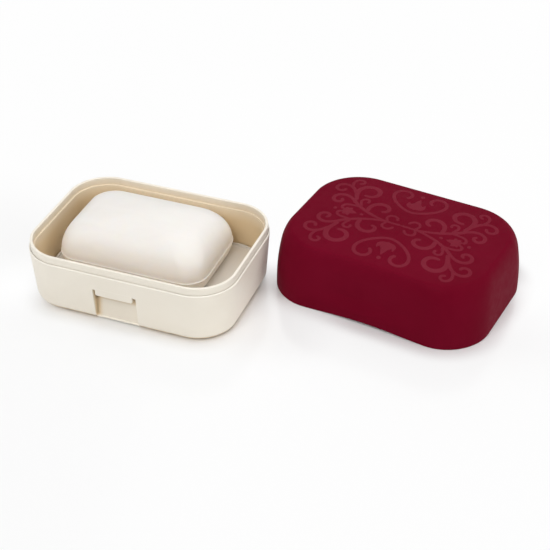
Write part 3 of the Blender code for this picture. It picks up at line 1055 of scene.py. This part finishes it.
@dataclass
class Cover:
    """The burgundy lid: a crowned shell with soft edges, dished along its front, and a seat inside."""

    base: BaseShell
    clearance: float = 0.3 * MM
    seat_clearance: float = 0.3 * MM
    rim_wall: float = 2.25 * MM
    wall: float = 2.4 * MM
    corner_extra: float = 1.3 * MM
    height: float = 34.9 * MM
    taper: float = 1.3 * MM
    taper_power: float = 2.5
    edge_run: float = 4.5 * MM
    edge_rise: float = 10.6 * MM
    crown: float = 1.7 * MM
    rim_round: float = 0.3 * MM
    rim_waist: float = 1.0 * MM
    front_waist: float = 2.5 * MM
    waist_height: float = 14.0 * MM
    top_waist_share: float = 0.5
    rim_arch: float = 1.2 * MM
    arch_height: float = 12.0 * MM
    waist_reach: float = 41.0 * MM
    gap: float = 4.3 * MM
    setback: float = 43.8 * MM
    turn: float = math.radians(-7.9)
    stand: float = 2.0 * MM
    seat_start: float = 0.15 * MM
    seat_rows: Floats = (2.5 * MM, 0.5 * MM, 0.2 * MM, 0.0)
    seat_ease: Floats = (0.12, 0.0, 0.0, 0.0, 0.05, 0.25)
    wall_rows: int = 22
    top_steps: int = 26
    rim_rows: int = 5
    corner_steps: int = 30
    spans: tuple[int, int] = (40, 12)
    passes: int = 4

    @property
    def grown(self) -> float:
        """How far the rim's outside stands outside the base's shoulder."""
        return self.clearance + self.rim_wall - self.base.lip_step

    @property
    def half_x(self) -> float:
        """Half the rim's length."""
        return self.base.length / 2 + self.grown

    @property
    def half_y(self) -> float:
        """Half the rim's width."""
        return self.base.width / 2 + self.grown

    @property
    def corner(self) -> float:
        """The rim's corner radius."""
        return self.base.corner + self.grown + self.corner_extra

    @property
    def seat_depth(self) -> float:
        """How far the lip reaches up into the cover."""
        return self.base.lip_rise + self.seat_clearance

    def waist(self, x: Array, y: Array, half_y: Array) -> Array:
        """The dish's share at a place: a cosine along the front times how far forward, each squared."""
        along = np.cos(np.pi / 2 * np.minimum(np.abs(x) / self.waist_reach, 1.0)) ** 2
        return along * np.maximum(-y / half_y, 0.0) ** 2

    def waist_depth(self, height: Array) -> Array:
        """How deep the dish is at a height: least over the seat, most at the waist, less at the top.

        Args:
            height: the height.

        Returns:
            The depth.
        """
        rise = np.clip((height - self.seat_depth) / (self.waist_height - self.seat_depth), 0.0, 1.0)
        lower = self.rim_waist + (self.front_waist - self.rim_waist) * np.sin(np.pi / 2 * rise) ** 2
        rest = (height - self.waist_height) / (self.height - self.waist_height)
        upper = self.front_waist * (1.0 - rest * (1.0 - self.top_waist_share))
        return np.where(height < self.waist_height, lower, upper)

    def skin_rows(self, thickness: float, low: float) -> Array:
        """Rows of the skin: a wall whose inset is a power of the height, closed by a dome.

        Args:
            thickness: how far under the outside the skin lies.
            low: where it starts.

        Returns:
            The rows as (thickness, inset, height, scale), (n, 4).
        """
        top = self.height - thickness
        run = self.edge_run - thickness / 2
        rise = self.edge_rise - thickness / 2
        start = top - self.crown - rise
        height = np.linspace(low, start, self.wall_rows + 1)[:-1]
        inset = self.taper * (height / start) ** self.taper_power
        wall = np.stack([inset, height, np.ones_like(height)], 1)
        half = self.half_y - thickness - self.taper
        lean = self.taper * self.taper_power / start
        over = dome(half, top, run, rise, self.crown, lean, self.top_steps)
        over[:, 0] += self.taper
        rows = np.concatenate([wall, over])
        return np.concatenate([np.full((len(rows), 1), thickness), rows], 1)

    def skin(self, outline: Outline, rows: Array) -> Array:
        """Rings of the dished skin from rows (thickness, inset, height, scale).

        Args:
            outline: the columns.
            rows: the rows.

        Returns:
            The points about the cover's own origin, (rows, columns, 3).
        """
        thickness, inset, height, scale = rows.T
        half_x = (self.half_x - thickness - inset) * scale
        half_y = (self.half_y - thickness - inset) * scale
        grid = outline.grid(half_x, half_y, (self.corner - thickness) * scale, height)
        share = self.waist(grid[..., 0], grid[..., 1], half_y[:, None])
        grid[..., 1] += share * (self.waist_depth(height) * scale)[:, None]
        arch = self.rim_arch * np.maximum(1.0 - height / self.arch_height, 0.0)
        grid[..., 2] += share * arch[:, None]
        return grid

    def seat(self, outline: Outline) -> Array:
        """The straight seat that slips over the lip, from its inner end down to the rim.

        Args:
            outline: the columns.

        Returns:
            The points about the cover's own origin, (rows, columns, 3).
        """
        grown = self.clearance - self.base.lip_step
        height = np.array([self.seat_depth, self.seat_depth - self.seat_start, *self.seat_rows])
        ease = np.array(self.seat_ease) * MM
        half_x = self.base.length / 2 + grown + ease
        half_y = self.base.width / 2 + grown + ease
        grid = outline.grid(half_x, half_y, self.base.corner + grown + ease, height)
        share = self.waist(grid[..., 0], grid[..., 1], self.half_y)
        grid[..., 2] += self.rim_arch * share * (1.0 - height / self.seat_depth)[:, None]
        return grid

    def crown_at(self, x: Array, y: Array) -> Array:
        """The height of the crown at a place.

        Formula: the place is moved back out of the dish. Its ring's scale is then the larger of its
        shares of the length and of the width, or the root of a square equation at the corners.

        Args:
            x: the place along the cover, from its middle.
            y: the place across it.

        Returns:
            The height.
        """
        half_x = self.half_x - self.taper - self.edge_run
        half_y = self.half_y - self.taper - self.edge_run
        core_x, core_y = half_x - self.corner, half_y - self.corner
        flat, scale = y, np.ones_like(x)
        for _ in range(self.passes):
            across, along = np.abs(flat), np.abs(x)
            straight = np.maximum(along / half_x, across / half_y)
            square = core_x**2 + core_y**2 - self.corner**2
            middle = core_x * along + core_y * across
            root = np.sqrt(np.maximum(middle**2 - square * (along**2 + across**2), 0.0))
            round_corner = (along**2 + across**2) / np.maximum(middle + root, self.corner**2 * TINY)
            cornered = (along > core_x * round_corner) & (across > core_y * round_corner)
            scale = np.where(cornered, np.maximum(round_corner, straight), straight)
            share = self.waist(x, flat, np.maximum(half_y * scale, TINY))
            flat = y - share * self.waist_depth(self.height - self.crown * scale**2) * scale
        return self.height - self.crown * scale**2

    def placed(self, local: Array) -> Array:
        """Turns points and sets them in their place beside the base.

        Args:
            local: the points about the cover's own origin.

        Returns:
            The points in place.
        """
        cos, sin = math.cos(self.turn), math.sin(self.turn)
        x = local[..., 0] * cos - local[..., 1] * sin + self.base.length / 2 + self.gap + self.half_x
        y = local[..., 0] * sin + local[..., 1] * cos + self.setback
        return np.stack([x, y, local[..., 2]], -1)

    def footprint(self) -> Footprint:
        """What the cover stands on.

        Returns:
            The footprint.
        """
        half_x, half_y, corner = (size - self.stand for size in (self.half_x, self.half_y, self.corner))
        middle = (self.base.length / 2 + self.gap + self.half_x, self.setback)
        return Footprint(half_x, half_y, corner, middle, self.turn)

    def build(self, material: Material) -> Piece:
        """The cover's closed shell, from the ceiling inside, round the rim, to the crown outside.

        Args:
            material: its finish.

        Returns:
            The piece.
        """
        outline = Outline.around(self.corner_steps, *map(even_places, self.spans))
        inside = self.skin(outline, self.skin_rows(self.wall, self.seat_depth))[::-1]
        angle = np.linspace(0.0, np.pi / 2, self.rim_rows + 1)[:-1]
        inset = self.rim_round * (1.0 - np.sin(angle))
        height = self.rim_round * (1.0 - np.cos(angle))
        rows = np.stack([np.zeros_like(angle), inset, height, np.ones_like(angle)], 1)
        rim = self.skin(outline, rows)
        outside = self.skin(outline, self.skin_rows(0.0, self.rim_round))
        grid = np.concatenate([inside, self.seat(outline), rim, outside])
        ends = poles(self.height - self.wall, self.height)
        made = closed_skin("cover_skin", material, self.placed(grid), self.placed(ends))
        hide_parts("cover")
        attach(made, Body.COVER.value)
        return made


class Tip(Enum):
    """How a stroke of the ornament ends."""

    ROUND = "round"
    LEAF = "leaf"


class Mirror(Enum):
    """Which mirrored copies of a stroke the ornament has: the signs of X and Y for each."""

    BOTH = ((1, 1), (-1, 1), (1, -1), (-1, -1))
    ALONG = ((1, 1), (-1, 1))
    ACROSS = ((1, 1), (1, -1))


@dataclass(frozen=True)
class Stroke:
    """One stroke of the ornament, in millimetres from the cover's middle, in its right back quarter."""

    start: Pair
    heading: float
    length: float
    bend: Floats
    widths: Triple
    tip: Tip = Tip.ROUND
    mirror: Mirror = Mirror.BOTH
    leaf_power: float = 0.9

    def path(self, steps: int) -> Array:
        """The stroke's middle line.

        Formula: the heading is a power series in the share of the length, with a term for each bend,
        and the line is the running sum of its cosine and sine.

        Args:
            steps: the spans along it.

        Returns:
            The points, (steps + 1, 2).
        """
        share = np.linspace(0.0, 1.0, steps + 1)
        turns = [turn * share ** (power + 1) for power, turn in enumerate(self.bend)]
        heading = sum(turns, np.full_like(share, self.heading))
        pace = np.stack([np.cos(heading), np.sin(heading)], 1)
        walked = np.cumsum((pace[1:] + pace[:-1]) / 2, 0) * self.length / steps
        return np.array(self.start) + np.concatenate([np.zeros((1, 2)), walked])

    def half_width(self, steps: int) -> Array:
        """Half the stroke's width along it.

        Formula: a parabola through the three widths, closed by half circles, or by a sine on a leaf.

        Args:
            steps: the spans along it.

        Returns:
            The half widths, (steps + 1,).
        """
        share = np.linspace(0.0, 1.0, steps + 1)
        start, middle, end = self.widths
        width = start * (1 - share) * (1 - 2 * share) + 4 * middle * share * (1 - share)
        width += end * share * (2 * share - 1)
        if self.tip is Tip.LEAF:
            return width / 2 * np.sin(np.pi * share) ** self.leaf_power
        run = np.minimum(share, 1.0 - share) * self.length / (width / 2)
        return width / 2 * np.sqrt(1.0 - (1.0 - np.minimum(run, 1.0)) ** 2)


@dataclass
class Scrollwork:
    """The thin raised scrolls, leaves and buds on the crown, the same in its four quarters."""

    cover: Cover
    rise: float = 0.10 * MM
    rise_step: float = 0.003 * MM
    sink: float = 0.08 * MM
    steps: int = 72
    section: int = 14
    round_power: float = 0.55
    most_copies: int = 4
    lean: Table = ((1.011, -0.038), (-0.008, 0.992))
    shift: Pair = (0.40 * MM, -0.43 * MM)
    follow: float = 2.6 * MM

    def strokes(self) -> tuple[Stroke, ...]:
        """The ornament's strokes: stems and curls, two leafy motifs, buds and dots.

        Returns:
            The strokes.
        """
        up, left = math.pi / 2, math.pi
        along, across = Mirror.ALONG, Mirror.ACROSS
        return (
            Stroke((0.0, 0.0), 0.0, 10.5, (), (1.5, 1.6, 1.7), Tip.ROUND, along),
            Stroke((7.6, 0.0), 0.12, 25.4, (0.62, 0.10, -0.10, 0.02), (1.5, 2.0, 2.3)),
            Stroke((29.05, 11.10), 1.303, 36.49, (-2.668, 18.096, -14.462, 4.476), (2.2, 3.0, 1.9)),
            Stroke((31.09, 16.43), 0.922, 26.26, (1.825, -12.611, 9.516, -4.834), (2.1, 2.1, 1.9)),
            Stroke((28.09, 9.67), 0.353, 26.65, (5.519, -29.766, 37.124, -19.627), (1.9, 2.2, 1.9)),
            Stroke((34.39, 20.74), 0.849, 18.76, (1.995, -4.140, 13.139, -5.043), (1.5, 1.8, 1.6)),
            Stroke((19.80, 4.19), 1.283, 23.01, (2.154, 3.177, -2.663, 2.621), (2.3, 2.6, 1.9)),
            Stroke((7.30, 0.60), 0.826, 12.40, (0.692, 10.657, -11.573, 4.192), (1.4, 1.7, 1.8)),
            Stroke((24.74, 7.03), 1.439, 12.86, (-3.517, 10.485, 0.043, -2.875), (1.6, 1.6, 1.7)),
            Stroke((-0.9, 13.55), -0.10, 39.9, (6.6, -22.6, 38.9, -17.0), (1.9, 2.0, 2.1)),
            Stroke((24.73, 6.33), -0.152, 12.76, (0.889, -0.341, -5.370, 1.761), (1.5, 1.7, 1.7)),
            Stroke((0.0, 16.4), up, 8.6, (), (6.2, 6.6, 5.0), Tip.LEAF, across),
            Stroke((0.0, 17.0), up, 11.2, (), (3.6, 3.9, 2.4), Tip.LEAF, across),
            Stroke((0.6, 17.2), 0.45, 7.6, (1.05, 0.25), (3.2, 3.0, 1.8), Tip.LEAF),
            Stroke((0.0, 29.3), up, 2.6, (), (2.4, 2.4, 2.4), Tip.ROUND, across),
            Stroke((30.2, 0.0), left, 6.4, (), (3.2, 3.4, 2.2), Tip.LEAF, along),
            Stroke((29.3, -0.3), 1.92, 4.5, (0.15,), (2.6, 2.9, 2.2), Tip.LEAF),
            Stroke((29.0, -0.2), 1.25, 4.0, (-0.25,), (2.6, 2.9, 2.2), Tip.LEAF),
            Stroke((28.8, 0.2), 0.32, 3.6, (0.10,), (2.4, 2.7, 2.2), Tip.LEAF),
            Stroke((20.4, 0.0), 0.0, 1.9, (), (1.9, 1.9, 1.9), Tip.ROUND, along),
            Stroke((35.9, -1.2), up, 2.4, (), (1.9, 1.9, 1.9), Tip.ROUND, along),
        )

    def laid(self, flat: Array) -> Array:
        """Lays points of the even drawing on the crown.

        Formula: the drawing is leaned and shifted a little, and its front is drawn in with the dish.

        Args:
            flat: the points, (..., 2).

        Returns:
            Their places about the cover's own origin, (..., 2).
        """
        place = flat @ np.array(self.lean).T + np.array(self.shift)
        x, y = place[..., 0], place[..., 1]
        scale = np.maximum(np.maximum(np.abs(x) / self.cover.half_x, np.abs(y) / self.cover.half_y), TINY)
        share = self.cover.waist(x, y, self.cover.half_y * scale)
        return np.stack([x, y + self.follow * share * scale], -1)

    def ribbon(self, line: Array, half: Array, rise: float) -> Array:
        """A low rounded ribbon that follows a line over the crown.

        Formula: round the section, the offset is a cosine times the half width, and the height on top
        is a power of the sine. The flat underside is sunk into the crown.

        Args:
            line: the middle line, (n, 2).
            half: half the width at each of its points, (n,).
            rise: how high the ribbon stands.

        Returns:
            The rings, (n, section, 3), about the cover's own origin.
        """
        ahead = np.gradient(line, axis=0)
        ahead /= np.linalg.norm(ahead, axis=1)[:, None]
        aside = np.stack([-ahead[:, 1], ahead[:, 0]], 1)
        angle = 2.0 * np.pi * np.arange(self.section) / self.section
        offset = np.cos(angle)[None, :] * half[:, None]
        flat = self.laid(line[:, None, :] + aside[:, None, :] * offset[..., None])
        swell = np.sqrt(np.clip(half / half.max(), 0.0, 1.0))
        lift = np.where(np.sin(angle) > TINY, np.abs(np.sin(angle)) ** self.round_power * rise, -self.sink)
        lift = np.where(lift > 0.0, lift[None, :] * swell[:, None], lift[None, :])
        return np.concatenate([flat, (self.cover.crown_at(flat[..., 0], flat[..., 1]) + lift)[..., None]], 2)

    def build(self, material: Material) -> Piece:
        """All the strokes and their mirrored copies as one piece.

        Args:
            material: its finish.

        Returns:
            The piece.
        """
        quads, triangles = skin_faces(self.steps - 1, self.section)
        points, all_quads, all_triangles = [], [], []
        for number, stroke in enumerate(self.strokes()):
            line, half = stroke.path(self.steps) * MM, stroke.half_width(self.steps) * MM
            for copy, signs in enumerate(stroke.mirror.value):
                rank = (self.most_copies * number + copy) / self.most_copies
                rings = self.ribbon(line * signs, half, self.rise + self.rise_step * rank)
                start = sum(len(block) for block in points)
                points.append(np.concatenate([rings[1:-1].reshape(-1, 3), rings[[0, -1]].mean(1)]))
                all_quads.append(quads + start)
                all_triangles.append(triangles + start)
        where = self.cover.placed(np.concatenate(points))
        faces = np.concatenate(all_quads), np.concatenate(all_triangles)
        made = add_piece("cover_scrollwork", make_mesh("cover_scrollwork", where, *faces), material)
        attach(made, Body.COVER.value)
        return made


# ------------------------------------------------------------------------------------------ studio


def facing(name: str, data: bpy.types.ID, place: Vector, heading: Vector) -> Piece:
    """Puts a lamp or a camera in the scene.

    Args:
        name: the object's name.
        data: the lamp or the camera.
        place: where it is.
        heading: the direction that it faces.

    Returns:
        The object.
    """
    made = bpy.data.objects.new(name, data)
    made.location = place
    made.rotation_euler = heading.to_track_quat("-Z", "Y").to_euler()
    bpy.context.scene.collection.objects.link(made)
    return made


@dataclass(frozen=True)
class Softbox:
    """A large soft lamp that faces a point."""

    name: str
    place: Triple
    size: float
    power: float

    def build(self, aim: Vector) -> None:
        """Hangs the lamp.

        Args:
            aim: the point that it faces.
        """
        lamp = bpy.data.lights.new(self.name, "AREA")
        lamp.shape = "SQUARE"
        lamp.size = self.size
        lamp.energy = self.power
        facing(self.name, lamp, Vector(self.place), aim - Vector(self.place))


@dataclass
class Studio:
    """The pale floor, the soft lamps, the white surround and the camera.

    Each kept shade and each spot of painted light is a round soft spot on the floor: its X, Y and reach, and
    a share.
    """

    footprints: tuple[Footprint, ...]
    aim: Triple = (55.84 * MM, 27.565 * MM, 0.0)
    azimuth: float = math.radians(20.663)
    elevation: float = math.radians(35.991)
    distance: float = 695.985 * MM
    lens: float = 88.787
    sensor: float = 36.0
    near: float = 0.01
    floor_even: tuple[tuple[float, float, int], ...] = ((-0.14, 0.30, 220), (-0.14, 0.20, 170))
    floor_outer: tuple[float, float, int] = (0.02, 6.0, 16)
    floor_albedo: float = 0.90
    # The floor's glow, seen by the camera only: none near the footprints, so the shadow stays; further out
    # it fades the object's shadow as painted light; far off it whitens the floor as background.
    floor_lift: Pair = (0.72, 0.95)
    lift_reach: Pair = (3.2 * MM, 13.0 * MM)
    lift_back: Pair = (10.0 * MM, 75.0 * MM)
    lift_far: Pair = (0.22, 0.60)
    # Kept shades hold the glow back so the object's shadow stays; the spots of painted light below wash that
    # shadow off.
    shades: tuple[Spot, ...] = ((0.068, -0.016, 0.040, 1.0), (0.190, 0.010, 0.040, 0.28))
    painted_light_spots: tuple[Spot, ...] = (
        (0.0475, 0.044, 0.036, 1.0),
        (-0.064, -0.028, 0.036, 1.0),
        (0.082, -0.005, 0.030, 0.4),
        (0.182, 0.060, 0.022, 0.7),
    )
    floor_gloss: float = 0.07
    floor_roughness: float = 0.16
    ambient: float = 0.04
    lamps: tuple[Softbox, ...] = (
        Softbox("lamp_over", (0.45, 0.10, 1.22), 1.3, 6.7),
        Softbox("lamp_back", (0.0, 0.95, 0.95), 1.0, 3.5),
        Softbox("lamp_high", (-0.10, -0.62, 1.20), 0.8, 1.8),
        Softbox("lamp_front", (-0.08, -0.98, 0.95), 0.8, 6.7),
        Softbox("lamp_left", (-1.03, -0.27, 0.65), 0.8, 3.2),
        Softbox("lamp_right_front", (0.81, -0.87, 0.55), 0.8, 0.6),
        Softbox("lamp_right", (1.20, -0.10, 0.40), 0.6, 3.0),
        Softbox("lamp_right_back", (1.05, 0.42, 0.75), 0.8, 1.4),
    )

    def camera(self) -> None:
        """Sets the camera at the photograph's viewing angle."""
        flat = math.cos(self.elevation)
        x, y = math.sin(self.azimuth) * flat, -math.cos(self.azimuth) * flat
        away = Vector((x, y, math.sin(self.elevation)))
        eye = bpy.data.cameras.new("camera")
        eye.lens = self.lens
        eye.sensor_width = self.sensor
        eye.clip_start = self.near
        bpy.context.scene.camera = facing("camera", eye, Vector(self.aim) + away * self.distance, -away)

    def surround(self) -> None:
        """Lights the world softly, and shows it as plain white to the camera and in reflections."""
        world = bpy.data.worlds.new("surround")
        world.use_nodes = True
        board = NodeBoard(world.node_tree)
        strength = board.between(board.background_rays(), self.ambient, 1.0, (0.0, 1.0))
        board.fill(board.tree.nodes["Background"], {"Color": WHITE, "Strength": strength})
        bpy.context.scene.world = world

    def lift_at(self, place: Array) -> Array:
        """How far the floor is lifted towards white at a place, as the camera sees it: a painted glow over
        the object's shadow, white far away as background.

        Formula: a smooth step of the distance from the nearest footprint, times a smooth step from the
        front's lift to the back's, less a share for each spot whose shade is kept. It rises to 1 far away,
        and towards 1, by its own share, in the middle of each spot of painted light.

        Args:
            place: the places on the floor, (..., 2).

        Returns:
            The lift, 0 for the plain floor and 1 for white.
        """
        nearest = np.min([footprint.distance(place) for footprint in self.footprints], 0)
        front, back = self.floor_lift
        lift = front + (back - front) * smooth_step(place[..., 1], *self.lift_back)
        lift = lift * smooth_step(nearest, *self.lift_reach)
        for x, y, reach, kept in self.shades:
            lift = lift * (1.0 - kept * smooth_step(1.0 - self.away(place, x, y) / reach))
        # Painted light: each spot washes the object's shadow towards white.
        for x, y, reach, most in self.painted_light_spots:
            lift = lift + (1.0 - lift) * most * smooth_step(1.0 - self.away(place, x, y) / reach)
        return lift + (1.0 - lift) * smooth_step(self.away(place, *self.aim[:2]), *self.lift_far)

    @staticmethod
    def away(place: Array, x: float, y: float) -> Array:
        """How far places on the floor are from a point."""
        return np.hypot(place[..., 0] - x, place[..., 1] - y)

    def spread(self, low: float, high: float, cells: int) -> Array:
        """Places across the floor: even cells from low to high, and ever wider ones outside them."""
        outer = np.geomspace(*self.floor_outer)
        return np.concatenate([low - outer[::-1], np.linspace(low, high, cells + 1), high + outer])

    def ground(self) -> None:
        """Lays the pale floor, with a faint reflection; it keeps the object's shadow near the footprints,
        while a painted glow fades it further out and washes it off in the spots of painted light.
        """
        x, y = (self.spread(*even) for even in self.floor_even)
        place = np.stack(np.meshgrid(x, y, indexing="ij"), 2)
        number = np.arange(x.size * y.size).reshape(x.size, y.size)
        quads = np.stack([number[:-1, :-1], number[1:, :-1], number[1:, 1:], number[:-1, 1:]], 2)
        points = np.concatenate([place, np.zeros(place.shape[:2] + (1,))], 2)
        faces = quads.reshape(-1, 4), np.zeros((0, 3), int)
        mesh = make_mesh("floor", points.reshape(-1, 3), *faces)
        # The painted glow's share at each point of the floor.
        carry(mesh, LIFT, self.lift_at(place))
        add_piece("floor", mesh, self.floor_paint())

    def floor_paint(self) -> Material:
        """The floor's finish: pale, with a weak sheen, and lifted towards white by a glow that the camera
        and reflections see, which paints light over the object's shadow and whitens the far floor as
        background.

        Returns:
            The material.
        """
        board = Paint("floor_paint")
        pale = (*[self.floor_albedo] * 3, 1.0)
        board.fill(board.shader, {"Base Color": pale, "Roughness": 1.0, "Specular IOR Level": 0.0})
        polish = board.add("ShaderNodeBsdfGlossy", {"Roughness": self.floor_roughness})
        glow = board.add("ShaderNodeEmission", {})
        # The glow is laid only on rays that show the background.
        share = board.maths("MULTIPLY", board.attribute(LIFT), board.background_rays())
        surface = board.shader.outputs[0]
        for cover, laid in ((self.floor_gloss, polish), (share, glow)):
            surface = board.add("ShaderNodeMixShader", {0: cover, 1: surface, 2: laid.outputs[0]}).outputs[0]
        board.fill(board.tree.nodes["Material Output"], {"Surface": surface})
        return board.material

    def build(self) -> None:
        """Sets up the whole studio."""
        self.camera()
        self.surround()
        self.ground()
        for lamp in self.lamps:
            lamp.build(Vector(self.aim))
        bpy.context.scene.view_settings.view_transform = "Standard"


def main() -> None:
    """Builds every piece, the floor, the lamps and the camera."""
    logging.basicConfig(level=logging.INFO, format="%(message)s")
    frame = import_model()
    # The warm tone of the painted shade; the ivory and the stone also get painted highlights along their
    # edges.
    shade_tone = linear(220, 196, 158)
    ivory = MouldedPlastic(
        "ivory", linear(243, 235, 220), linear(247, 240, 226), 0.34, 0.46, inside=shade_tone, painted_highlights=True
    )
    stone = MouldedPlastic("stone", linear(209, 201, 190), linear(214, 207, 197), 0.40, 0.52, painted_highlights=True)
    burgundy = MouldedPlastic("burgundy", linear(107, 7, 31), linear(113, 10, 35), 0.50, 0.62, specular=0.02)
    scroll = MouldedPlastic("scroll", linear(120, 32, 48), linear(126, 37, 53), 0.50, 0.62, specular=0.02)
    milk = MilledSoap("milk", linear(243, 239, 234), linear(246, 242, 237))
    moulded = ivory.material()
    base = BaseShell()
    cover = Cover(base)
    pieces = (
        base.build(moulded),
        PressTab(base).build(moulded),
        DrainTray().build(stone.material(), frame["nodes"]["drain_tray"]),
        SoapBar().build(milk.material(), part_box("soap_bar")),
        cover.build(burgundy.material()),
        Scrollwork(cover).build(scroll.material()),
    )
    for piece in pieces:
        LOG.info("%s: %d faces", piece.name, len(piece.data.polygons))
    Studio((base.footprint(), cover.footprint())).build()


if __name__ == "__main__":
    main()
